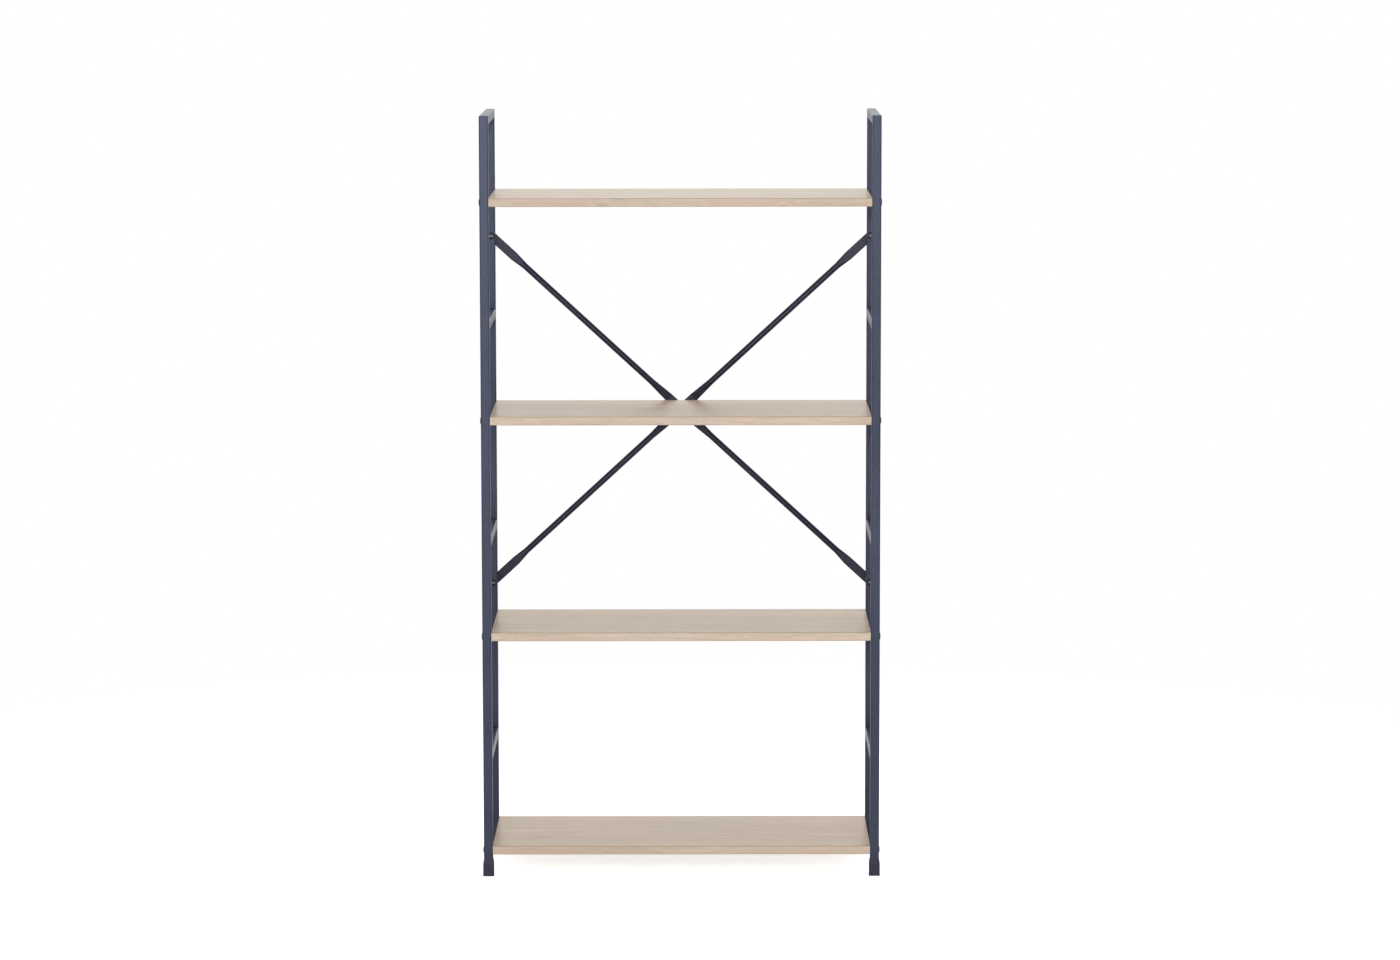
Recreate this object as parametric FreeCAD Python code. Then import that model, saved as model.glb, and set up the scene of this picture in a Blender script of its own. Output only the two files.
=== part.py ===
import FreeCAD, Part
import math
import os

# Open shelving unit. Two welded ladder frames of square steel tube carry four
# melamine-faced boards, and a crossed pair of round tubes stiffens the back.
# Millimetres. X runs across the width, Y from front to back, Z up from the floor.
# The origin is on the floor, in the middle of the whole unit's footprint.

# Side frames: posts, top rails and rungs of one square tube
frame_width = 700.0       # over the outer faces of the two side frames
frame_depth = 270.0       # over the front and rear faces of the posts
tube_size = 16.0
tube_wall = 1.2
tube_corner = 2.0         # outer radius of the tube's corners
rung_drop = 223.5         # from a board's top face down to the rung's centre
rail_rise = 143.5         # from the top board's top face up to the frame's top

# Boards and their edge bands
board_count = 4
board_thickness = 15.0
bottom_board_top = 54.0   # floor to the bottom board's top face
board_pitch = 382.5       # from one board's top face to the next
band_thickness = 1.0
band_bevel = 0.5          # along a long band's outer edges

# Shelf screws, through the posts into the boards' ends
screw_diameter = 6.0
screw_grip = 34.0         # of shank inside the board
screw_head_diameter = 12.0
screw_head_height = 1.3
head_bevel = 1.0          # round the crown of these heads, the bolts' and the rivet's
pilot_overrun = 2.0       # of drilled hole past the screw's tip
pilot_clearance = 0.1     # round the screw in the board, on the radius
hole_clearance = 0.25     # round a shank in a steel tube, on the radius

# Facets of what repeats many times
rod_sides = 8             # of shanks and the holes they fill
head_sides = 10

# Crossed brace behind the back posts
brace_diameter = 11.0
brace_wall = 1.0
brace_slit = 0.4          # height left of the bore where a pressed flat begins
brace_top_drop = 84.0     # from the top board's top face down to the upper holes
brace_foot_rise = 51.5    # from the second board's top face up to the lower holes
brace_tip = 9.0           # of flat beyond each end hole
brace_tip_cut = 5.0       # cut off a tip's corners, both ways
end_flat = 56.0           # of flat from each end hole towards the middle
end_swell = 26.0          # over which an end flat swells to the round tube
middle_flat = 60.0
middle_swell = 42.0

# Brace fasteners
brace_bolt_diameter = 6.0
brace_head_diameter = 12.6
brace_head_height = 3.0
brace_thread_show = 1.2   # of bolt past its nut
nut_flats = 10.0
nut_height = 5.0
nut_clearance = 0.1       # between the nut's bore and the bolt, on the radius
rivet_diameter = 5.0
rivet_head_diameter = 9.0
rivet_head_height = 1.9

# Push-on plastic foot caps
cap_height = 29.5
cap_wall = 1.4
cap_corner = 2.0          # outer radius of the sleeve's and the lip's corners
cap_taper = 8.0           # height of the rim's taper
cap_rim = 0.3             # wall left at the top of the taper
cap_floor = 3.0           # under the tube's end
cap_clearance = 0.1       # round the tube
cap_lip = 0.2             # by which the bottom lip stands out
cap_lip_height = 2.5

# Worked out from the sizes above
half_width = frame_width / 2
board_half = half_width - tube_size
board_tops = [bottom_board_top + board_pitch * i for i in range(board_count)]
frame_height = board_tops[-1] + rail_rise

brace_flat = 2 * brace_wall + brace_slit
brace_tail = brace_flat + nut_height + brace_thread_show
rear_reach = max(brace_diameter, brace_tail)
cap_reach = cap_clearance + cap_wall + cap_lip
front_y = cap_reach - (frame_depth + rear_reach + cap_reach) / 2
rear_y = front_y + frame_depth

side_sign = {"left": -1, "right": 1}
post_x = half_width - tube_size / 2
post_y = {"front": front_y + tube_size / 2, "back": rear_y - tube_size / 2}
outer_y = {"front": front_y, "back": rear_y}
inner_y = {"front": front_y + tube_size, "back": rear_y - tube_size}

brace_high = board_tops[-1] - brace_top_drop
brace_low = board_tops[1] + brace_foot_rise
brace_middle = (brace_high + brace_low) / 2
brace_length = math.hypot(2 * post_x, brace_high - brace_low)
brace_angle = math.degrees(math.atan2(brace_high - brace_low, 2 * post_x))

ORIGIN = FreeCAD.Vector(0, 0, 0)
X_AXIS = FreeCAD.Vector(1, 0, 0)
Y_AXIS = FreeCAD.Vector(0, 1, 0)
Z_AXIS = FreeCAD.Vector(0, 0, 1)


def save(name, solids):
    """Write one sub-part, a solid or a group of separate solids, as a STEP file."""
    shape = solids[0] if len(solids) == 1 else Part.makeCompound(solids)
    shape.exportStep("parts/" + name + ".step")


def polygon_prism(points, along):
    """Prism on a flat polygon, along a vector."""
    return Part.Face(Part.makePolygon(points + points[:1])).extrude(along)


def rod(diameter, start, along, sides=rod_sides):
    """Round bar of few facets, from a point along a vector of its own length."""
    corner = X_AXIS * (diameter / 2)
    turns = [FreeCAD.Rotation(Z_AXIS, 360 * step / sides) for step in range(sides)]
    bar = polygon_prism([turn.multVec(corner) for turn in turns], Z_AXIS * along.Length)
    bar.Placement = FreeCAD.Placement(start, FreeCAD.Rotation(Z_AXIS, along))
    return bar


# ---- Square tube ----

def rounded_ring(size, corner, z):
    """Outline of a square about Z with rounded corners, at height z."""
    half = size / 2
    flat = half - corner
    diagonal = flat + corner * math.cos(math.pi / 4)
    edges = []
    for quarter in range(4):
        spin = FreeCAD.Rotation(Z_AXIS, 90 * quarter)
        places = [(half, -flat), (half, flat), (diagonal, diagonal), (flat, half)]
        low, high, middle, end = [spin.multVec(FreeCAD.Vector(x, y, z)) for x, y in places]
        edges.append(Part.makeLine(low, high))
        edges.append(Part.Arc(high, middle, end).toShape())
    return Part.Wire(edges)


def rounded_block(size, corner, base, top):
    """Square bar about Z with rounded long edges, from one height to another."""
    return Part.Face(rounded_ring(size, corner, base)).extrude(Z_AXIS * (top - base))


def square_tube(length):
    """Length of the frame's tube, standing on the origin."""
    outside = rounded_block(tube_size, tube_corner, 0, length)
    bore = tube_size - 2 * tube_wall
    return outside.cut(Part.makeBox(bore, bore, length, FreeCAD.Vector(-bore / 2, -bore / 2, 0)))


def cross_tube(x, z, start, end):
    """Tube that runs front to back between two planes, centred on x and z."""
    tube = square_tube(end - start)
    tube.rotate(ORIGIN, X_AXIS, -90)
    tube.translate(FreeCAD.Vector(x, start, z))
    return tube


# ---- Side frames ----

def mitre_wedge(x, place, keeps_post):
    """Half of the square where post and top rail meet, beyond their mitre."""
    under = frame_height - tube_size
    corner = (outer_y[place], frame_height)
    inside = (inner_y[place], under)
    beyond = (inner_y[place], frame_height) if keeps_post else (outer_y[place], under)
    points = [FreeCAD.Vector(x - tube_size, y, z) for y, z in (corner, inside, beyond)]
    return polygon_prism(points, X_AXIS * (2 * tube_size))


def brace_hole(x, z):
    """Hole for a brace bolt, front to back through a back post and the bars behind it."""
    start = FreeCAD.Vector(x, rear_y - 2 * tube_size, z)
    return rod(brace_bolt_diameter + 2 * hole_clearance, start, Y_AXIS * (4 * tube_size))


def post(side, place):
    """Upright with a mitred top, holes for the shelf screws and, at the back, for the brace."""
    x = side_sign[side] * post_x
    upright = square_tube(frame_height - cap_floor)
    upright.translate(FreeCAD.Vector(x, post_y[place], cap_floor))
    upright = upright.cut(mitre_wedge(x, place, True))
    for top in board_tops:
        start = FreeCAD.Vector(x - tube_size, post_y[place], top - board_thickness / 2)
        along = X_AXIS * (2 * tube_size)
        upright = upright.cut(rod(screw_diameter + 2 * hole_clearance, start, along))
    if place == "back":
        for z in (brace_low, brace_high):
            upright = upright.cut(brace_hole(x, z))
    return upright


def top_rail(side):
    """Tube that closes a side frame at the top, mitred to both posts."""
    x = side_sign[side] * post_x
    rail = cross_tube(x, frame_height - tube_size / 2, front_y, rear_y)
    for place in post_y:
        rail = rail.cut(mitre_wedge(x, place, False))
    return rail


def rung(side, top):
    """Tube welded between a side frame's posts, below the board with this top face."""
    return cross_tube(side_sign[side] * post_x, top - rung_drop, inner_y["front"], inner_y["back"])


# ---- Boards ----

def screw_places(top):
    """The four screws of a board: their side's sign, Y and Z."""
    z = top - board_thickness / 2
    return [(sign, y, z) for sign in side_sign.values() for y in post_y.values()]


def drill_ends(shape, top):
    """Drill the screws' pilot holes into a board or its end bands."""
    depth = screw_grip + pilot_overrun
    for sign, y, z in screw_places(top):
        start = FreeCAD.Vector(sign * board_half, y, z)
        pilot = rod(screw_diameter + 2 * pilot_clearance, start, X_AXIS * (-sign * depth))
        shape = shape.cut(pilot)
    return shape


def board(top):
    """Particle board between its edge bands, drilled at both ends."""
    length = 2 * (board_half - band_thickness)
    depth = frame_depth - 2 * band_thickness
    corner = FreeCAD.Vector(-length / 2, front_y + band_thickness, top - board_thickness)
    return drill_ends(Part.makeBox(length, depth, board_thickness, corner), top)


def long_band(top, place):
    """Edge band along a board's front or back, with bevelled outer edges."""
    start = front_y if place == "front" else rear_y - band_thickness
    corner = FreeCAD.Vector(-board_half, start, top - board_thickness)
    band = Part.makeBox(2 * board_half, band_thickness, board_thickness, corner)
    outer = []
    for edge in band.Edges:
        runs_along = edge.BoundBox.XLength > board_half
        if runs_along and abs(edge.CenterOfMass.y - outer_y[place]) < band_thickness / 2:
            outer.append(edge)
    return band.makeChamfer(band_bevel, outer)


def end_bands(top):
    """The two short bands on a board's ends, drilled with the board."""
    depth = frame_depth - 2 * band_thickness
    bands = []
    for start in (-board_half, board_half - band_thickness):
        corner = FreeCAD.Vector(start, front_y + band_thickness, top - board_thickness)
        bands.append(drill_ends(Part.makeBox(band_thickness, depth, board_thickness, corner), top))
    return bands


# ---- Fasteners ----

def button_head(diameter, height):
    """Low head on the origin, bevelled round its crown."""
    head = rod(diameter, ORIGIN, Z_AXIS * height, head_sides)
    crown = [edge for edge in head.Edges if edge.BoundBox.ZMin > height / 2]
    return head.makeChamfer(head_bevel, crown)


def shelf_screws(top):
    """The four screws that hold a board between the side frames."""
    screws = []
    for sign, y, z in screw_places(top):
        screw = button_head(screw_head_diameter, screw_head_height)
        shank = rod(screw_diameter, -Z_AXIS * (tube_size + screw_grip),
                    Z_AXIS * (tube_size + screw_grip))
        screw = screw.fuse(shank)
        screw.rotate(ORIGIN, Y_AXIS, sign * 90)
        screw.translate(FreeCAD.Vector(sign * half_width, y, z))
        screws.append(screw)
    return screws


def brace_places():
    """X and Z of the four holes where the brace is bolted to the back posts."""
    return [(sign * post_x, z) for sign in side_sign.values() for z in (brace_low, brace_high)]


def brace_bolts():
    """The four bolts through the back posts, their heads on the posts' front faces."""
    length = tube_size + brace_tail
    bolts = []
    for x, z in brace_places():
        bolt = button_head(brace_head_diameter, brace_head_height)
        bolt = bolt.fuse(rod(brace_bolt_diameter, -Z_AXIS * length, Z_AXIS * length))
        bolt.rotate(ORIGIN, X_AXIS, 90)
        bolt.translate(FreeCAD.Vector(x, inner_y["back"], z))
        bolts.append(bolt)
    return bolts


def brace_nuts():
    """The four nuts on the rear of the brace's end flats."""
    across_corners = 2 * nut_flats / math.sqrt(3)
    along = Y_AXIS * nut_height
    nuts = []
    for x, z in brace_places():
        seat = FreeCAD.Vector(x, rear_y + brace_flat, z)
        bore = rod(brace_bolt_diameter + 2 * nut_clearance, seat, along)
        nuts.append(rod(across_corners, seat, along, 6).cut(bore))
    return nuts


# ---- Crossed brace ----

def pressed_section(x, half_thickness, centre_y, inset):
    """Outline of the brace tube at x, pressed to a thickness without changing its girth.

    Pressing turns the circle into two straight runs joined by two round ends. A round
    section keeps a hair of straight run, so that every section has the same four edges.
    inset is nothing for the tube's outside and the wall for its bore.
    """
    rounding = brace_diameter / 2 - half_thickness
    straight = max(math.pi * rounding / 2, brace_diameter / 1000)
    radius = half_thickness - inset
    front, rear = centre_y - radius, centre_y + radius
    low_front = FreeCAD.Vector(x, front, -straight)
    low_rear = FreeCAD.Vector(x, rear, -straight)
    high_front = FreeCAD.Vector(x, front, straight)
    high_rear = FreeCAD.Vector(x, rear, straight)
    low_end = FreeCAD.Vector(x, centre_y, -straight - radius)
    high_end = FreeCAD.Vector(x, centre_y, straight + radius)
    return Part.Wire([
        Part.makeLine(low_front, high_front),
        Part.Arc(high_front, high_end, high_rear).toShape(),
        Part.makeLine(high_rear, low_rear),
        Part.Arc(low_rear, low_end, low_front).toShape(),
    ])


def pressed_loft(stations, inset):
    """Loft through the tube's sections at stations of x, half thickness and centre Y."""
    wires = [pressed_section(x, half, y, inset) for x, half, y in stations]
    return Part.makeLoft(wires, True, True)


def far_end(stations):
    """The same stations as seen from the bar's other end."""
    return [(brace_length - x, half, y) for x, half, y in reversed(stations)]


def pressed_bar(middle_y):
    """Brace bar along X, with its end holes at 0 and brace_length.

    Y is measured from the posts' rear faces. The end flats lie against the posts, and
    the middle flat is centred on middle_y. Where the tube is pressed its walls meet,
    and between the flats it keeps its bore.
    """
    half_flat = brace_flat / 2
    half_full = brace_diameter / 2
    middle_start = (brace_length - middle_flat) / 2
    bored = [
        (end_flat, half_flat, half_flat),
        (end_flat + end_swell, half_full, half_full),
        (middle_start - middle_swell, half_full, half_full),
        (middle_start, half_flat, middle_y),
    ]
    near = [(-brace_tip, half_flat, half_flat)] + bored
    bar = pressed_loft(near + far_end(near), 0)
    for stretch in (bored, far_end(bored)):
        bar = bar.cut(pressed_loft(stretch, brace_wall))
    return bar.common(tip_outline())


def brace_bar(direction, middle_y):
    """Brace bar from an upper hole to the opposite lower one."""
    bar = pressed_bar(middle_y)
    bar.translate(FreeCAD.Vector(-brace_length / 2, 0, 0))
    bar.rotate(ORIGIN, Y_AXIS, direction * brace_angle)
    bar.translate(FreeCAD.Vector(0, rear_y, brace_middle))
    for x, z in brace_places():
        bar = bar.cut(brace_hole(x, z))
    return bar.cut(rivet_shank(hole_clearance))


def tip_outline():
    """Slab as wide as a flat, with cut corners, that trims a bar's tips."""
    wide = (brace_flat + math.pi * (brace_diameter - brace_flat) / 2) / 2
    narrow = wide - brace_tip_cut
    start = -brace_tip
    end = brace_length + brace_tip
    outline = [
        (start, narrow), (start + brace_tip_cut, wide),
        (end - brace_tip_cut, wide), (end, narrow),
        (end, -narrow), (end - brace_tip_cut, -wide),
        (start + brace_tip_cut, -wide), (start, -narrow),
    ]
    points = [FreeCAD.Vector(x, -brace_diameter, z) for x, z in outline]
    return polygon_prism(points, Y_AXIS * (3 * brace_diameter))


def rivet_shank(clearance):
    """The rivet's shank, or with a clearance its hole through both middle flats."""
    start = FreeCAD.Vector(0, rear_y + brace_diameter / 2 - brace_flat, brace_middle)
    return rod(rivet_diameter + 2 * clearance, start, Y_AXIS * (2 * brace_flat))


def brace_rivet():
    """Rivet that joins the two bars where they cross, with a head on each side."""
    rivet = rivet_shank(0)
    for facing in (-1, 1):
        head = button_head(rivet_head_diameter, rivet_head_height)
        head.rotate(ORIGIN, X_AXIS, -90 * facing)
        seat = rear_y + brace_diameter / 2 + facing * brace_flat
        head.translate(FreeCAD.Vector(0, seat, brace_middle))
        rivet = rivet.fuse(head)
    return rivet


# ---- Foot caps ----

def foot_cap(side, place):
    """Plastic cap pushed on a post's foot: tapered sleeve, floor and bottom lip."""
    seat = tube_size + 2 * cap_clearance
    body = seat + 2 * cap_wall
    sleeve = rounded_block(body, cap_corner, cap_lip_height, cap_height)
    brink = FreeCAD.Vector(body / 2, -body / 2, cap_height)
    outside = [brink, brink - Z_AXIS * cap_taper, brink - X_AXIS * (cap_wall - cap_rim)]
    for quarter in range(4):
        wedge = polygon_prism(outside, Y_AXIS * body)
        wedge.rotate(ORIGIN, Z_AXIS, 90 * quarter)
        sleeve = sleeve.cut(wedge)
    lip = rounded_block(body + 2 * cap_lip, cap_corner, 0, cap_lip_height)
    corner = FreeCAD.Vector(-seat / 2, -seat / 2, cap_floor)
    pocket = Part.makeBox(seat, seat, cap_height, corner)
    cap = sleeve.fuse(lip).cut(pocket)
    cap.translate(FreeCAD.Vector(side_sign[side] * post_x, post_y[place], 0))
    return cap


# ---- Sub-parts ----

os.makedirs("parts", exist_ok=True)

for side in side_sign:
    for place in post_y:
        save("post_" + side + "_" + place, [post(side, place)])
        save("foot_cap_" + side + "_" + place, [foot_cap(side, place)])
    save("top_rail_" + side, [top_rail(side)])
    for level in range(1, board_count):
        save("rung_" + side + "_" + str(level), [rung(side, board_tops[level])])

for level, top in enumerate(board_tops, 1):
    number = str(level)
    save("board_" + number, [board(top)])
    save("front_band_" + number, [long_band(top, "front")])
    save("back_band_" + number, [long_band(top, "back")])
    save("end_bands_" + number, end_bands(top))
    save("shelf_screws_" + number, shelf_screws(top))

crossing_y = brace_diameter / 2
save("brace_bar_falling", [brace_bar(1, crossing_y - brace_flat / 2)])
save("brace_bar_rising", [brace_bar(-1, crossing_y + brace_flat / 2)])
save("brace_rivet", [brace_rivet()])
save("brace_bolts", brace_bolts())
save("brace_nuts", brace_nuts())
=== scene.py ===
import math
from collections import namedtuple

import bmesh
import bpy
from mathutils import Matrix, Vector


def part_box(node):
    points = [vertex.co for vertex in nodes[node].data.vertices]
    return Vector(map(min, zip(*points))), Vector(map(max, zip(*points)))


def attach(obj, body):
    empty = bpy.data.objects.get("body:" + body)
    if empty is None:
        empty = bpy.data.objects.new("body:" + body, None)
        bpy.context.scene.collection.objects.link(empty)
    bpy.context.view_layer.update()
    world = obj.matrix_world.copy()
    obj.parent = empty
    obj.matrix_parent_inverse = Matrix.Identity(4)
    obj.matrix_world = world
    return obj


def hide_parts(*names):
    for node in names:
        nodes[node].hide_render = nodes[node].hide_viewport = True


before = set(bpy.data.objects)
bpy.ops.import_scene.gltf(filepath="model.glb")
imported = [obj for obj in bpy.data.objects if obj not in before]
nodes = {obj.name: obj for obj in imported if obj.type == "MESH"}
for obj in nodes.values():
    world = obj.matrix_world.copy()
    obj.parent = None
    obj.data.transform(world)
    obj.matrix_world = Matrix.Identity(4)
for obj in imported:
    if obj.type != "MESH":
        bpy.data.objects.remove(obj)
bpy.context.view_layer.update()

# Looks for an open shelving unit: satin powder coat on the steel, light oak decor on
# the boards, moulded plastic foot caps, and round fasteners with their sockets and
# threads. Metres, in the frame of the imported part: +X right, +Y back, +Z up.

MM = 0.001
collection = bpy.context.scene.collection


# ---- Camera ----

sensor_width = 36               # millimetres
camera_lens = 117.86            # millimetres
camera_right = 36.3 * MM        # from the unit's centre line
camera_height = 1716.8 * MM
camera_distance = 7971.5 * MM   # from the front posts' front faces
camera_pitch = math.radians(-7.217)
camera_yaw = math.radians(0.0189)
camera_roll = math.radians(-0.0701)
camera_reach = 200              # to the farthest thing that it sees


def make_camera():
    """Camera where the photograph's camera stood."""
    camera = bpy.data.cameras.new("camera")
    camera.sensor_width = sensor_width
    camera.lens = camera_lens
    camera.clip_end = camera_reach
    camera_object = bpy.data.objects.new("camera", camera)
    collection.objects.link(camera_object)
    front_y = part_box("post_left_front")[0].y
    camera_object.matrix_world = (
        Matrix.Translation((camera_right, front_y - camera_distance, camera_height))
        @ Matrix.Rotation(camera_yaw, 4, "Z")
        @ Matrix.Rotation(math.pi / 2 + camera_pitch, 4, "X")
        @ Matrix.Rotation(camera_roll, 4, "Z")
    )
    bpy.context.scene.camera = camera_object


make_camera()
bpy.context.scene.view_settings.view_transform = "Standard"


# ---- Shader building ----

WHITE = (1, 1, 1, 1)

# Sockets of a Mix node, by number, because each type of data has the same names.
MIX_SHARE = 0
FLOAT_FIRST, FLOAT_SECOND, FLOAT_RESULT = 2, 3, 0
COLOUR_FIRST, COLOUR_SECOND, COLOUR_RESULT = 6, 7, 2

# Range in which most of a noise's values lie.
noise_low = 0.3
noise_high = 0.7


class Shader:
    """The node tree of a material or a world, built one node at a time."""

    def __init__(self, owner):
        owner.use_nodes = True
        self.owner = owner
        self.tree = owner.node_tree
        self.tree.nodes.clear()

    def add(self, kind, sockets=None, **settings):
        """Add a node: settings are its properties, sockets its values or links."""
        node = self.tree.nodes.new(kind)
        for name, value in settings.items():
            setattr(node, name, value)
        for key, value in (sockets or {}).items():
            if isinstance(value, bpy.types.NodeSocket):
                self.tree.links.new(value, node.inputs[key])
            else:
                node.inputs[key].default_value = value
        return node

    def place(self, stretch=(1, 1, 1), offset=(0, 0, 0), turn=0.0):
        """Coordinates in the part's frame, in metres, stretched, turned about Z and offset."""
        coordinates = self.add("ShaderNodeTexCoord")
        mapping = self.add("ShaderNodeMapping", {
            "Vector": coordinates.outputs["Object"], "Scale": stretch,
            "Rotation": (0, 0, turn), "Location": offset})
        return mapping.outputs["Vector"]

    def axes(self, vector):
        """X, Y and Z of a vector, by name."""
        return self.add("ShaderNodeSeparateXYZ", {0: vector}).outputs

    def camera_ray(self):
        """1 where the camera sees the surface itself, otherwise 0."""
        return self.add("ShaderNodeLightPath").outputs["Is Camera Ray"]

    def noise(self, vector, scale, detail, roughness=0.5, distortion=0.0):
        """Noise from 0 to 1."""
        texture = self.add("ShaderNodeTexNoise", {
            "Vector": vector, "Scale": scale, "Detail": detail,
            "Roughness": roughness, "Distortion": distortion})
        return texture.outputs["Fac"]

    def spread(self, value, low, high, to_low=0.0, to_high=1.0):
        """Value from one range to another, eased and held at both ends."""
        ranged = self.add("ShaderNodeMapRange", {
            "Value": value, "From Min": low, "From Max": high,
            "To Min": to_low, "To Max": to_high}, interpolation_type="SMOOTHSTEP")
        return ranged.outputs["Result"]

    def mottle(self, vector, scale, detail, roughness=0.5, low=noise_low, high=noise_high):
        """Noise eased from 0 where it is low to 1 where it is high."""
        return self.spread(self.noise(vector, scale, detail, roughness), low, high)

    def maths(self, operation, first, second=0.0):
        """Result of a Math node."""
        return self.add("ShaderNodeMath", {0: first, 1: second},
                        operation=operation).outputs["Value"]

    def vector_maths(self, operation, first, second=(0, 0, 0)):
        """Result of a Vector Math node: a vector, or the number of a length or product."""
        node = self.add("ShaderNodeVectorMath", {0: first, 1: second}, operation=operation)
        return node.outputs["Value" if operation in ("LENGTH", "DOT_PRODUCT") else "Vector"]

    def blend(self, share, first, second):
        """Mix of two colours."""
        mix = self.add("ShaderNodeMix", {
            MIX_SHARE: share, COLOUR_FIRST: first, COLOUR_SECOND: second}, data_type="RGBA")
        return mix.outputs[COLOUR_RESULT]

    def lay(self, base, colour, share, amount):
        """A colour laid over a base, by the product of a share and an amount."""
        return self.blend(self.maths("MULTIPLY", share, amount), base, colour)

    def bump(self, height, distance, strength):
        """Normal from a height, in metres of relief."""
        sockets = {"Height": height, "Distance": distance, "Strength": strength}
        return self.add("ShaderNodeBump", sockets).outputs["Normal"]

    def principled(self, **sockets):
        """Principled surface from socket names written with underscores."""
        named = {key.replace("_", " "): value for key, value in sockets.items()}
        return self.add("ShaderNodeBsdfPrincipled", named).outputs["BSDF"]

    def finish(self, surface):
        """Connect the surface and return the material."""
        self.add("ShaderNodeOutputMaterial", {"Surface": surface})
        return self.owner


def material_shader(name):
    """Empty shader of a new material."""
    return Shader(bpy.data.materials.new(name))


def srgb(red, green, blue):
    """Linear colour from 8-bit sRGB values."""
    linear = []
    for value in (red, green, blue):
        share = value / 255
        linear.append(share / 12.92 if share <= 0.04045 else ((share + 0.055) / 1.055) ** 2.4)
    return (*linear, 1)


def shade(colour, factor):
    """A colour made darker or lighter by a factor."""
    return (*(channel * factor for channel in colour[:3]), 1)


# ---- Floor, background and light ----

floor_half = 30.0        # of each side
shadow_near = 0.9        # radius round the unit inside which the floor is lit as it is
shadow_far = 2.2         # radius beyond which the floor is plain white to the camera
floor_lift = 0.72        # light added to the floor, to the camera alone
room_light = 0.44        # of white, from the sides, the front and above
backdrop_light = 1.0     # of white, from behind the unit
backdrop_start = 0.15    # sine of the angle off the unit's own plane where it begins
backdrop_full = 0.65     # and where it is at its brightest


def floor_material():
    """White floor that keeps the unit's shadow and fades into a white background."""
    shader = material_shader("floor_white")
    distance = shader.vector_maths("LENGTH", shader.place(stretch=(1, 1, 0)))
    far = shader.spread(distance, shadow_near, shadow_far)
    seen = shader.camera_ray()
    lit = shader.principled(
        Base_Color=WHITE, Roughness=1.0, Specular_IOR_Level=0.0, Emission_Color=WHITE,
        Emission_Strength=shader.maths("MULTIPLY", seen, floor_lift))
    plain_white = shader.add("ShaderNodeEmission", {"Color": WHITE, "Strength": 1.0}).outputs[0]
    share = shader.maths("MULTIPLY", far, seen)
    mixed = shader.add("ShaderNodeMixShader", {0: share, 1: lit, 2: plain_white})
    return shader.finish(mixed.outputs[0])


def make_floor():
    """Large flat floor under the unit."""
    mesh = bpy.data.meshes.new("floor")
    corners = [(x * floor_half, y * floor_half, 0)
               for x, y in ((-1, -1), (1, -1), (1, 1), (-1, 1))]
    mesh.from_pydata(corners, [], [(0, 1, 2, 3)])
    mesh.materials.append(floor_material())
    floor = bpy.data.objects.new("floor", mesh)
    collection.objects.link(floor)


def make_world():
    """White surroundings: white to the camera, and brightest behind the unit."""
    shader = Shader(bpy.data.worlds.new("studio"))
    bpy.context.scene.world = shader.owner
    toward = shader.add("ShaderNodeTexCoord").outputs["Generated"]
    light = shader.spread(shader.axes(toward)["Y"], backdrop_start, backdrop_full,
                          room_light, backdrop_light)
    strength = shader.add("ShaderNodeMix", {
        MIX_SHARE: shader.camera_ray(), FLOAT_FIRST: light, FLOAT_SECOND: 1.0})
    background = shader.add("ShaderNodeBackground", {
        "Color": WHITE, "Strength": strength.outputs[FLOAT_RESULT]})
    shader.add("ShaderNodeOutputWorld", {"Surface": background.outputs[0]})


# Place, what it points at, width and height, and power of each softbox.
Softbox = namedtuple("Softbox", "place target size watts")
front_softbox = Softbox((-0.45, -6.0, 2.1), (0, 0, 0.8), (2.0, 1.4), 146)
top_softbox = Softbox((0.4, 0.3, 3.8), (0, 0, 0.6), (2.4, 2.4), 26)

# Kinds of piece whose level faces would mirror the front softbox in views from behind.
no_front_shine = ("board", "front_band", "back_band", "end_bands", "top_rail", "rung")


def make_lamp(name, softbox, diffuse=True, shine=True):
    """Rectangular lamp for diffuse light, for reflections or for both."""
    light = bpy.data.lights.new(name, "AREA")
    light.shape = "RECTANGLE"
    light.size, light.size_y = softbox.size
    light.energy = softbox.watts
    lamp = bpy.data.objects.new(name, light)
    collection.objects.link(lamp)
    lamp.location = softbox.place
    aim = Vector(softbox.target) - Vector(softbox.place)
    lamp.rotation_euler = aim.to_track_quat("-Z", "Y").to_euler()
    lamp.visible_diffuse = diffuse
    lamp.visible_glossy = shine
    return lamp


def leave_out(lamp, kinds):
    """Keep a lamp off the nodes whose names start with these kinds of piece."""
    group = bpy.data.collections.new(lamp.name + "_left_out")
    for node_name, node_object in nodes.items():
        if node_name.startswith(kinds):
            group.objects.link(node_object)
    for member in group.collection_objects:
        member.light_linking.link_state = "EXCLUDE"
    lamp.light_linking.receiver_collection = group


make_floor()
make_world()
make_lamp("front_softbox", front_softbox, shine=False)
leave_out(make_lamp("front_shine", front_softbox, diffuse=False), no_front_shine)
make_lamp("top_softbox", top_softbox)


# ---- Steel and plastic ----

edge_samples = 4
edge_full = 0.86                # cosine between true and rounded normal at a full edge

coat_deep = 0.84                # of the coat's colour, where it is darkest
coat_light = 1.16               # of the coat's colour, where it is lightest
streak_stretch = (30, 30, 1.2)  # of the coat's upright streaks
streak_amount = 0.4
grit_amount = 0.18
corner_shade_radius = 2.6 * MM        # of the line of painted shade along the tubes' corners
corner_shade_factor = 0.25              # of the coat's colour
corner_shade_amount = 0.8
wear_radius = 0.5 * MM          # of the worn line along edges
wear_amount = 0.5
gloss_change = (-0.04, 0.06)    # added to the coat's roughness
peel_relief = 0.02 * MM
clear_roughness = 0.14
clear_tint = (0.66, 0.77, 1.0, 1)

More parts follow.
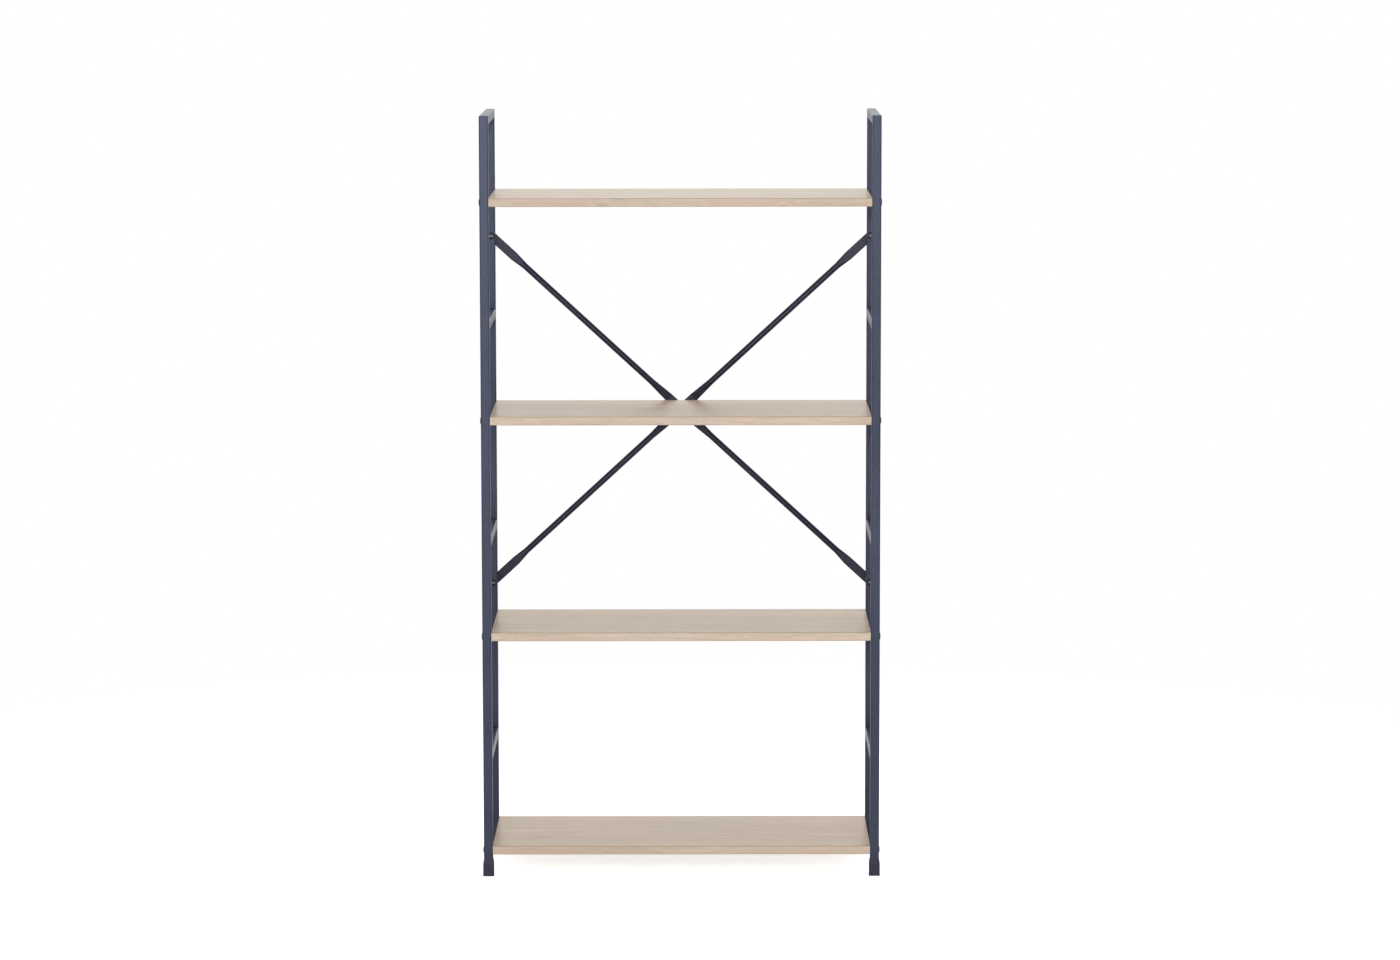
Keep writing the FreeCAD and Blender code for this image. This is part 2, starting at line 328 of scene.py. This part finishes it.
plastic_deep = 0.85             # of the plastic's colour, where it is darkest
plastic_roughness = (0.52, 0.66)
spark_relief = 0.03 * MM
scuff_height = 9 * MM           # from the floor
scuff_stretch = (1, 1, 6)

steel_light = 1.7               # of the steel's colour, where it is lightest
steel_roughness = (0.34, 0.46)
steel_relief = 0.02 * MM
steel_wear_radius = 0.35 * MM
steel_wear_amount = 0.4
worn_steel = srgb(120, 122, 128)
bared_steel = srgb(114, 117, 125)


def edges(shader, radius):
    """Share from 0 on flats to 1 along edges, on a line as wide as the radius."""
    rounded = shader.add("ShaderNodeBevel", {"Radius": radius}, samples=edge_samples)
    flat = shader.add("ShaderNodeNewGeometry")
    cosine = shader.vector_maths("DOT_PRODUCT", rounded.outputs["Normal"],
                                 flat.outputs["Normal"])
    return shader.spread(cosine, 1.0, edge_full)


def powder_coat(name, colour, worn, roughness, clear_coat, shine_tint):
    """Satin powder coat: fine orange peel, slow changes of tone, worn edges, painted shade along
    the corners.

    worn is the colour of its grit and worn edges, clear_coat the weight of the glossy
    layer on top, and shine_tint the colour of its reflections.
    """
    shader = material_shader(name)
    place = shader.place()
    streak_place = shader.place(stretch=streak_stretch)
    tone = shader.mottle(place, scale=7, detail=3)
    streaks = shader.mottle(streak_place, scale=3, detail=2)
    grit = shader.mottle(place, scale=1400, detail=2, low=0.35)
    wear = shader.mottle(place, scale=160, detail=3, low=0.55, high=0.75)
    worn_edges = shader.maths("MULTIPLY", edges(shader, wear_radius), wear)
    light = shade(colour, coat_light)
    base = shader.blend(tone, shade(colour, coat_deep), light)
    base = shader.lay(base, light, streaks, streak_amount)
    base = shader.lay(base, worn, grit, grit_amount)
    # Painted shade: a darker line along the tubes' rounded corners, where they turn from the
    # light.
    base = shader.lay(base, shade(colour, corner_shade_factor), edges(shader, corner_shade_radius),
                      corner_shade_amount)
    base = shader.lay(base, worn, worn_edges, wear_amount)
    peel = shader.noise(place, scale=620, detail=3, roughness=0.55)
    gloss = shader.spread(shader.noise(place, scale=55, detail=3), noise_low, noise_high,
                          *(roughness + change for change in gloss_change))
    return shader.finish(shader.principled(
        Base_Color=base, Roughness=gloss, Normal=shader.bump(peel, peel_relief, strength=0.5),
        Specular_IOR_Level=0.5, Specular_Tint=shine_tint, Coat_Weight=clear_coat,
        Coat_Roughness=clear_roughness, Coat_Tint=clear_tint))


def moulded_plastic(name, colour, scuff):
    """Matt moulded plastic: fine spark texture, with scuffs towards the floor."""
    shader = material_shader(name)
    place = shader.place()
    spark = shader.noise(place, scale=2200, detail=2)
    tone = shader.mottle(place, scale=90, detail=3)
    scratches = shader.mottle(shader.place(stretch=scuff_stretch), scale=260, detail=4,
                              roughness=0.7, low=0.52)
    near_floor = shader.spread(shader.axes(place)["Z"], scuff_height, 0.0)
    base = shader.blend(tone, shade(colour, plastic_deep), colour)
    base = shader.lay(base, scuff, near_floor, scratches)
    gloss = shader.spread(spark, noise_low, noise_high, *plastic_roughness)
    return shader.finish(shader.principled(
        Base_Color=base, Roughness=gloss, Normal=shader.bump(spark, spark_relief, strength=0.6),
        Specular_IOR_Level=0.4))


def dark_steel(name, colour, bared=None):
    """Black-finished steel of screws, bolts, nuts and the rivet.

    bared gives the share of bare metal from the shader and its coordinates.
    """
    shader = material_shader(name)
    place = shader.place()
    tone = shader.mottle(place, scale=400, detail=3)
    base = shader.blend(tone, colour, shade(colour, steel_light))
    base = shader.lay(base, worn_steel, edges(shader, steel_wear_radius), steel_wear_amount)
    if bared:
        base = shader.blend(bared(shader, place), base, bared_steel)
    grain = shader.noise(place, scale=1800, detail=2)
    gloss = shader.spread(tone, 0, 1, *steel_roughness)
    return shader.finish(shader.principled(
        Base_Color=base, Roughness=gloss, Normal=shader.bump(grain, steel_relief, strength=0.5),
        Metallic=0.35))


frame_paint = powder_coat(
    "frame_powder_coat", colour=srgb(40, 45, 66), worn=srgb(80, 86, 107), roughness=0.34,
    clear_coat=0.22, shine_tint=(0.80, 0.86, 1.0, 1))
brace_paint = powder_coat(
    "brace_powder_coat", colour=srgb(15, 15, 36), worn=srgb(46, 50, 78), roughness=0.33,
    clear_coat=0.0, shine_tint=(0.80, 0.84, 1.0, 1))
cap_plastic = moulded_plastic("cap_plastic", srgb(45, 45, 64), srgb(88, 87, 100))
black_steel = dark_steel("black_steel", srgb(44, 45, 53))

surfaces = {
    "post": frame_paint, "top_rail": frame_paint, "rung": frame_paint,
    "brace_bar": brace_paint, "foot_cap": cap_plastic,
    "shelf_screws": black_steel, "brace_bolts": black_steel,
    "brace_nuts": black_steel, "brace_rivet": black_steel,
}
for kind, surface in surfaces.items():
    for node_name, node_object in nodes.items():
        if node_name.startswith(kind):
            node_object.material_slots[0].material = surface


# ---- Oak decor ----

# Each layer of grain is a noise stretched along X: its features to the metre along and
# across the grain, its detail, roughness and distortion, and the range of its values that
# is eased from 0 to 1.
Grain = namedtuple("Grain", "along across detail roughness distortion low high")
grain_layers = {
    "bands": Grain(1.6, 24, 3, 0.55, 0.4, 0.34, 0.66),
    "patches": Grain(3.2, 10, 2, 0.5, 0.0, 0.38, 0.62),
    "cool": Grain(2.4, 13, 2, 0.5, 0.3, 0.50, 0.70),
    "fibres": Grain(9, 420, 3, 0.6, 0.0, 0.36, 0.68),
    "pores": Grain(55, 1500, 2, 0.5, 0.0, 0.60, 0.72),
    "flames": Grain(4.5, 85, 3, 0.6, 0.6, 0.61, 0.76),
}
wide_layers = ("bands", "patches", "cool")

# What is laid over the bands, in this order: layer, colour and amount.
grain_colours = (
    ("rings", "ring", 0.42),
    ("patches", "blush", 0.55),
    ("cool", "cool", 0.50),
    ("fibres", "ring", 0.30),
    ("flames", "deep", 0.62),
    ("pores", "deep", 0.40),
)

sway_stretch = (0.9, 3.5, 3.5)
sway_width = 0.09            # by which the grain wanders sideways
arch_stretch = (0.06, 1, 0)  # of the arches' ovals
arch_rings = 95              # features of their rings, to the metre across the grain
rim_start = 1.5 * MM         # from a band's upper or lower edge, where its line of painted shade begins
rim_full = 0.4 * MM
rim_shade_amount = 0.75
grain_relief = 0.02 * MM
fibre_relief = 0.6           # of the pores' depth
oak_roughness = (0.28, 0.36)


def oak_decor(name, colours, heart, offset, narrow=1.0, rim=None, turn=0.0):
    """Light oak decor with its grain along X, or along Y where it is turned.

    Flat-sawn arches, wide soft bands, fine long fibres, short pores and a few darker flames
    are laid over each other. The arches close round the heart, and narrow makes the wide
    layers finer on an edge band. A rim is the middle height of a band's face and half the
    face's height, and gives the face a thin line of painted shade along its upper and lower
    edge.
    """
    shader = material_shader(name)
    plain_place = shader.place(offset=offset, turn=turn)
    wander = shader.noise(shader.vector_maths("MULTIPLY", plain_place, sway_stretch),
                          scale=2.0, detail=3)
    sway = shader.maths("MULTIPLY", shader.maths("SUBTRACT", wander, 0.5), sway_width)
    swayed = shader.add("ShaderNodeCombineXYZ", {"Y": sway, "Z": sway}).outputs[0]
    grain_place = shader.vector_maths("ADD", plain_place, swayed)

    layers = {}
    for layer, grain in grain_layers.items():
        across = grain.across * (narrow if layer in wide_layers else 1)
        scaled = shader.vector_maths("MULTIPLY", grain_place, (grain.along, across, across))
        value = shader.noise(scaled, 1.0, grain.detail, grain.roughness, grain.distortion)
        layers[layer] = shader.spread(value, grain.low, grain.high)

    # Arches: rings round a line nearly level with the board cut it in long ovals.
    from_heart = shader.vector_maths(
        "SUBTRACT", shader.vector_maths("ADD", shader.place(), swayed), heart)
    reach = shader.vector_maths(
        "LENGTH", shader.vector_maths("MULTIPLY", from_heart, arch_stretch))
    around = shader.add("ShaderNodeCombineXYZ", {
        "X": shader.maths("MULTIPLY", reach, arch_rings), "Y": offset[0]}).outputs[0]
    layers["rings"] = shader.mottle(around, scale=1.0, detail=3, roughness=0.6,
                                    low=0.38, high=0.66)

    base = shader.blend(layers["bands"], colours["pale"], colours["mid"])
    for layer, colour, amount in grain_colours:
        base = shader.lay(base, colours[colour], layers[layer], amount)
    # Painted shade: a thin darker line along the upper and lower edge of a band's face.
    if rim:
        middle_height, half_height = rim
        off_middle = shader.maths("SUBTRACT", shader.axes(shader.place())["Z"], middle_height)
        line = shader.spread(shader.maths("ABSOLUTE", off_middle),
                             half_height - rim_start, half_height - rim_full)
        base = shader.lay(base, colours["deep"], line, rim_shade_amount)
    relief = shader.maths("SUBTRACT", shader.maths("MULTIPLY", layers["fibres"], fibre_relief),
                          layers["pores"])
    gloss = shader.spread(layers["fibres"], 0, 1, *oak_roughness)
    return shader.finish(shader.principled(
        Base_Color=base, Roughness=gloss, Normal=shader.bump(relief, grain_relief, strength=0.4),
        Specular_IOR_Level=0.38))


def oak_colours(lightness, warmth, blush):
    """Colours of a decor, from its lightness and warmth and the tint of its patches."""
    plain_colours = {"pale": (226, 214, 198), "mid": (211, 197, 180), "ring": (196, 179, 158),
                     "blush": blush, "cool": (202, 198, 184), "deep": (158, 137, 115)}
    return {name: srgb(red * lightness * (1 + warmth), green * lightness,
                       blue * lightness * (1 - warmth))
            for name, (red, green, blue) in plain_colours.items()}


board_colours = oak_colours(0.93, 0.047, (216, 201, 178))
band_lightness = 0.965
band_shade_step = 0.005          # painted shade: lightness taken off the bands from each board to the one above, against the stronger light on the higher boards
band_warmth = 0.018
band_blush = (224, 194, 181)
band_narrow = 9.0
decor_shift = (0.83, 0.37, 0.29)    # from each board's piece of decor to the next
band_shift = (0.4, 0, 0.1)          # from a board's decor to its bands'
heart_x = 0.9                       # to the right on odd boards, to the left on even ones
heart_y = -0.05                     # to the front on odd boards, to the back on even ones
heart_step = 0.02                   # towards the back from each board to the next


def dress_board(number):
    """Decor of one board and its edge bands."""
    side = 1 if number % 2 else -1
    heart = (heart_x * side, heart_y * side + heart_step * number, 0)
    shift = tuple(number * step for step in decor_shift)
    moved = tuple(first + second for first, second in zip(shift, band_shift))
    # Painted shade: the bands are darker on each higher board, to offset the stronger light
    # there.
    band_colours = oak_colours(band_lightness - band_shade_step * number, band_warmth, band_blush)
    low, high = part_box("front_band_%d" % number)
    rim = ((low.z + high.z) / 2, (high.z - low.z) / 2)
    board = oak_decor("board_decor_%d" % number, board_colours, heart, shift)
    long_band = oak_decor("long_band_decor_%d" % number, band_colours, heart, moved,
                          band_narrow, rim)
    end_band = oak_decor("end_band_decor_%d" % number, band_colours, heart, moved,
                         band_narrow, turn=math.pi / 2)
    for kind, decor in (("board", board), ("front_band", long_band),
                        ("back_band", long_band), ("end_bands", end_band)):
        nodes["%s_%d" % (kind, number)].material_slots[0].material = decor


board_count = sum(name.startswith("board_") for name in nodes)
for number in range(1, board_count + 1):
    dress_board(number)


# ---- Meshes turned about Z ----

turn_segments = 48
segment_angles = [2 * math.pi * step / turn_segments for step in range(turn_segments)]
merge_distance = 0.001 * MM
dome_steps = 7
dome_seat = 0.97            # of a head's radius, where it stands
dome_chamfer = 0.05         # of a head's height, from its seat to its full radius
dome_rim = 0.22             # of a head's height, to the top of its upright rim
crown_margin = 0.6 * MM     # flat round a recess
drive_chamfer = 0.15 * MM
shank_bevel = 0.16          # of the shank's radius
thread_pitch = 1.0 * MM
thread_depth = 0.54 * MM
thread_rows = 8             # to a turn
nut_chamfer = 0.97          # of the distance to a flat, where the chamfer begins
nut_chamfer_slope = math.tan(math.radians(30))
nut_sink = 0.14             # of the bore's radius


def for_each_segment(value):
    """A list with one value to a segment, from such a list or from a single number."""
    return value if isinstance(value, list) else [value] * turn_segments


def make_ring(mesh, radii, heights):
    """Ring of vertices about Z: a single radius or height holds for all its segments."""
    rows = zip(segment_angles, for_each_segment(radii), for_each_segment(heights))
    return [mesh.verts.new((radius * math.cos(angle), radius * math.sin(angle), height))
            for angle, radius, height in rows]


def hexagon_radii(across_flats):
    """Distance from Z to a hexagon's outline, for each segment."""
    off_flats = [(angle + math.pi / 6) % (math.pi / 3) - math.pi / 6 for angle in segment_angles]
    return [across_flats / 2 / math.cos(off_flat) for off_flat in off_flats]


def slot_radii(length, width):
    """Distance from Z to the outline of a slot along X, for each segment."""
    return [1 / max(2 * abs(math.cos(angle)) / length, 2 * abs(math.sin(angle)) / width)
            for angle in segment_angles]


def join_rings(mesh, rings, start_tip=None, end_tip=None):
    """Skin over a row of rings, closed by a fan to a tip at either end where one is given."""
    for first, second in zip(rings, rings[1:]):
        for step in range(len(first)):
            following = (step + 1) % len(first)
            mesh.faces.new((first[step], first[following], second[following], second[step]))
    for ring, tip_point in ((rings[0], start_tip), (rings[-1], end_tip)):
        if tip_point is None:
            continue
        tip = mesh.verts.new(tip_point)
        for step in range(len(ring)):
            mesh.faces.new((ring[step], ring[(step + 1) % len(ring)], tip))


def dome_rings(mesh, radius, crown_radius, height, base=0.0, side=1):
    """Rings of a low domed head, from its seat on a base to the edge of its crown.

    side is 1 for a head that points up, and -1 for one that points down from -base.
    """
    rim = height * dome_rim
    outline = [(radius * dome_seat, 0), (radius, height * dome_chamfer), (radius, rim)]
    for step in range(1, dome_steps + 1):
        angle = math.pi / 2 * step / dome_steps
        outline.append((crown_radius + (radius - crown_radius) * math.cos(angle),
                        rim + (height - rim) * math.sin(angle)))
    return [make_ring(mesh, across, side * (base + up)) for across, up in outline]


def thread_rings(mesh, radius, start, length):
    """Rings of a helical thread, cut into a shank from a height upwards."""
    rings = []
    for row in range(round(length / thread_pitch * thread_rows)):
        radii = []
        for step in range(turn_segments):
            phase = (row / thread_rows - step / turn_segments) % 1
            radii.append(radius - thread_depth * (1 - abs(2 * phase - 1)))
        rings.append(make_ring(mesh, radii, start + thread_pitch * row / thread_rows))
    return rings


def driven_screw(mesh, head_diameter, head_height, drive, depth, shank_diameter, length,
                 thread_length=0.0):
    """Domed screw with a recess of the drive's outline: its head stands on the origin."""
    shank = shank_diameter / 2
    bevel = shank * shank_bevel
    recess_floor = head_height - depth
    rings = [make_ring(mesh, shank - bevel, -length), make_ring(mesh, shank, bevel - length)]
    rings += thread_rings(mesh, shank, bevel - length, thread_length)
    rings.append(make_ring(mesh, shank, 0))
    rings += dome_rings(mesh, head_diameter / 2, max(drive) + crown_margin, head_height)
    rings.append(make_ring(mesh, [radius + drive_chamfer for radius in drive], head_height))
    rings.append(make_ring(mesh, drive, head_height - drive_chamfer))
    rings.append(make_ring(mesh, drive, recess_floor))
    join_rings(mesh, rings, (0, 0, -length), (0, 0, recess_floor))


def hex_nut(mesh, across_flats, height, bore_diameter):
    """Nut on the origin with chamfered corners and a countersunk bore."""
    chamfer = across_flats / 2 * nut_chamfer
    bore = bore_diameter / 2
    sink = bore * nut_sink
    hexagon = hexagon_radii(across_flats)
    drops = [(radius - chamfer) * nut_chamfer_slope for radius in hexagon]
    outline = (
        (bore, sink), (bore + sink, 0), (chamfer, 0), (hexagon, drops),
        (hexagon, [height - drop for drop in drops]),
        (chamfer, height), (bore + sink, height), (bore, height - sink), (bore, sink),
    )
    join_rings(mesh, [make_ring(mesh, radii, heights) for radii, heights in outline])


def smooth_object(name, mesh, surface, sharp_degrees=32):
    """Object from finished mesh data, smooth apart from its sharp edges, riding the root."""
    bmesh.ops.remove_doubles(mesh, verts=mesh.verts, dist=merge_distance)
    bmesh.ops.recalc_face_normals(mesh, faces=mesh.faces)
    data = bpy.data.meshes.new(name)
    mesh.to_mesh(data)
    mesh.free()
    data.shade_smooth()
    data.set_sharp_from_angle(angle=math.radians(sharp_degrees))
    data.materials.append(surface)
    piece = bpy.data.objects.new(name, data)
    collection.objects.link(piece)
    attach(piece, "root")
    return piece


def repeated(build, places):
    """One mesh with a copy of what build makes at each placing matrix."""
    whole = bmesh.new()
    for matrix in places:
        single = bmesh.new()
        build(single)
        single.transform(matrix)
        data = bpy.data.meshes.new("copy")
        single.to_mesh(data)
        single.free()
        whole.from_mesh(data)
        bpy.data.meshes.remove(data)
    return whole


# ---- Fasteners ----

screw_shank = 6.0 * MM
screw_grip = 34 * MM         # length in the board
screw_socket = 4.0 * MM      # across its flats
screw_socket_depth = 1.5 * MM
bolt_shank = 6.0 * MM
bolt_slot_length = 8.8 * MM
bolt_slot_width = 2.8 * MM
bolt_slot_depth = 1.5 * MM
bolt_thread = 12 * MM        # length of the thread
nut_clearance = 0.1 * MM     # that a nut's bore is wider than the shank
rivet_crown = 2.0 * MM       # across the flat top of a head
rivet_head_height = 1.9 * MM

# The metal of the bolts' slots is fully bare from these distances in front of the post and
# inside the slot's outline, and not bare at all from the last one outside the outline.
bared_depth = 0.3 * MM
bared_inside = 0.1 * MM
bared_outside = 0.2 * MM

post_low, post_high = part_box("post_left_front")
half_width = -post_low.x
tube_size = post_high.x - post_low.x
post_x = half_width - tube_size / 2
post_ys = [sum(corner.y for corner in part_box("post_left_" + place)) / 2
           for place in ("front", "back")]
back_inner_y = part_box("post_left_back")[0].y

nut_low, nut_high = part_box("brace_nuts")
nut_flats = (nut_high.x - post_x) * math.sqrt(3)
bolt_low, bolt_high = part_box("brace_bolts")
bolt_heights = [nut_low.z + nut_flats / 2, nut_high.z - nut_flats / 2]
bolt_xz = [(side * post_x, z) for side in (-1, 1) for z in bolt_heights]


def slot_share(shader, place):
    """Share from 0 away from the bolts' slots to 1 inside them."""
    axes = shader.axes(place)
    off_post = shader.maths("SUBTRACT", shader.maths("ABSOLUTE", axes["X"]), post_x)
    low_gap, high_gap = [shader.maths("ABSOLUTE", shader.maths("SUBTRACT", axes["Z"], height))
                         for height in bolt_heights]
    share = shader.spread(axes["Y"], back_inner_y, back_inner_y - bared_depth)
    for away, half in ((shader.maths("ABSOLUTE", off_post), bolt_slot_length / 2),
                       (shader.maths("MINIMUM", low_gap, high_gap), bolt_slot_width / 2)):
        inside = shader.spread(away, half + bared_outside, half - bared_inside)
        share = shader.maths("MULTIPLY", share, inside)
    return share


def make_shelf_screws(number):
    """Round socket screws of one board, through the posts into the board's ends."""
    node_name = "shelf_screws_%d" % number
    low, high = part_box(node_name)
    places = [Matrix.Translation((side * half_width, y, (low.z + high.z) / 2))
              @ Matrix.Rotation(side * math.pi / 2, 4, "Y")
              for side in (-1, 1) for y in post_ys]
    screws = repeated(
        lambda mesh: driven_screw(
            mesh, head_diameter=high.z - low.z, head_height=high.x - half_width,
            drive=hexagon_radii(screw_socket), depth=screw_socket_depth,
            shank_diameter=screw_shank, length=tube_size + screw_grip),
        places)
    piece = smooth_object("round_screws_%d" % number, screws, black_steel)
    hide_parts(node_name)


def make_brace_bolts():
    """Round slotted bolts through the back posts, threaded where the nuts sit."""
    places = [Matrix.Translation((x, back_inner_y, z)) @ Matrix.Rotation(math.pi / 2, 4, "X")
              for x, z in bolt_xz]
    bolts = repeated(
        lambda mesh: driven_screw(
            mesh, head_diameter=2 * (bolt_high.x - post_x),
            head_height=back_inner_y - bolt_low.y,
            drive=slot_radii(bolt_slot_length, bolt_slot_width), depth=bolt_slot_depth,
            shank_diameter=bolt_shank, length=bolt_high.y - back_inner_y,
            thread_length=bolt_thread),
        places)
    slotted_steel = dark_steel("slotted_steel", srgb(16, 16, 20), slot_share)
    piece = smooth_object("round_bolts", bolts, slotted_steel)
    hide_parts("brace_bolts")


def make_brace_nuts():
    """Chamfered nuts behind the brace's end flats."""
    places = [Matrix.Translation((x, nut_low.y, z)) @ Matrix.Rotation(-math.pi / 2, 4, "X")
              for x, z in bolt_xz]
    nuts = repeated(
        lambda mesh: hex_nut(mesh, nut_flats, nut_high.y - nut_low.y,
                             bolt_shank + nut_clearance),
        places)
    piece = smooth_object("chamfered_nuts", nuts, black_steel)
    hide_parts("brace_nuts")


def make_brace_rivet():
    """Rivet where the brace bars cross, with a domed head at each end of its grip."""
    low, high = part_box("brace_rivet")
    head_radius = (high.x - low.x) / 2
    reach = (high.y - low.y) / 2
    grip = reach - rivet_head_height

    def round_rivet(mesh):
        """Rivet along Z about the origin."""
        upper, lower = [dome_rings(mesh, head_radius, rivet_crown / 2, rivet_head_height,
                                   grip, side) for side in (1, -1)]
        join_rings(mesh, lower[::-1] + upper, (0, 0, -reach), (0, 0, reach))

    place = Matrix.Translation((low + high) / 2) @ Matrix.Rotation(-math.pi / 2, 4, "X")
    piece = smooth_object("round_rivet", repeated(round_rivet, [place]), black_steel)
    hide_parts("brace_rivet")


for number in range(1, board_count + 1):
    make_shelf_screws(number)
make_brace_bolts()
make_brace_nuts()
make_brace_rivet()


# ---- Weld beads ----

bead_radius = 1.3 * MM
bead_ripple = 0.14       # of the radius
bead_pitch = 1.6 * MM
bead_rings = 40
bead_sides = 12
bead_end = 2.0 * MM      # length over which a bead runs out
bead_margin = 1.0 * MM   # from each end of a bead to the tube's side
bead_sharp_degrees = 60


def weld_bead(mesh, length):
    """Rippled bead along X, centred on the origin and run out to a point at both ends."""
    rings = []
    for row in range(1, bead_rings):
        along = length * (row / bead_rings - 0.5)
        left = length / 2 - abs(along)
        swell = math.sqrt(1 - (1 - min(left / bead_end, 1)) ** 2)
        ripple = 1 + bead_ripple * math.sin(2 * math.pi * along / bead_pitch)
        radius = bead_radius * swell * ripple
        ring = []
        for step in range(bead_sides):
            angle = 2 * math.pi * step / bead_sides
            ring.append(mesh.verts.new((along, radius * math.cos(angle),
                                        radius * math.sin(angle))))
        rings.append(ring)
    join_rings(mesh, rings, (-length / 2, 0, 0), (length / 2, 0, 0))


def make_weld_beads(side):
    """Beads of one ladder frame: at both ends of each rung and under the top rail's ends."""
    places = []
    for node_name in sorted(nodes):
        if node_name.startswith("rung_" + side):
            low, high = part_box(node_name)
            places += [((low.x + high.x) / 2, y, z)
                       for y in (low.y, high.y) for z in (low.z, high.z)]
    low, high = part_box("top_rail_" + side)
    places += [((low.x + high.x) / 2, y, high.z - tube_size)
               for y in (low.y + tube_size, high.y - tube_size)]
    beads = repeated(lambda mesh: weld_bead(mesh, tube_size - 2 * bead_margin),
                     [Matrix.Translation(place) for place in places])
    smooth_object("weld_beads_" + side, beads, frame_paint, bead_sharp_degrees)


for side in ("left", "right"):
    make_weld_beads(side)
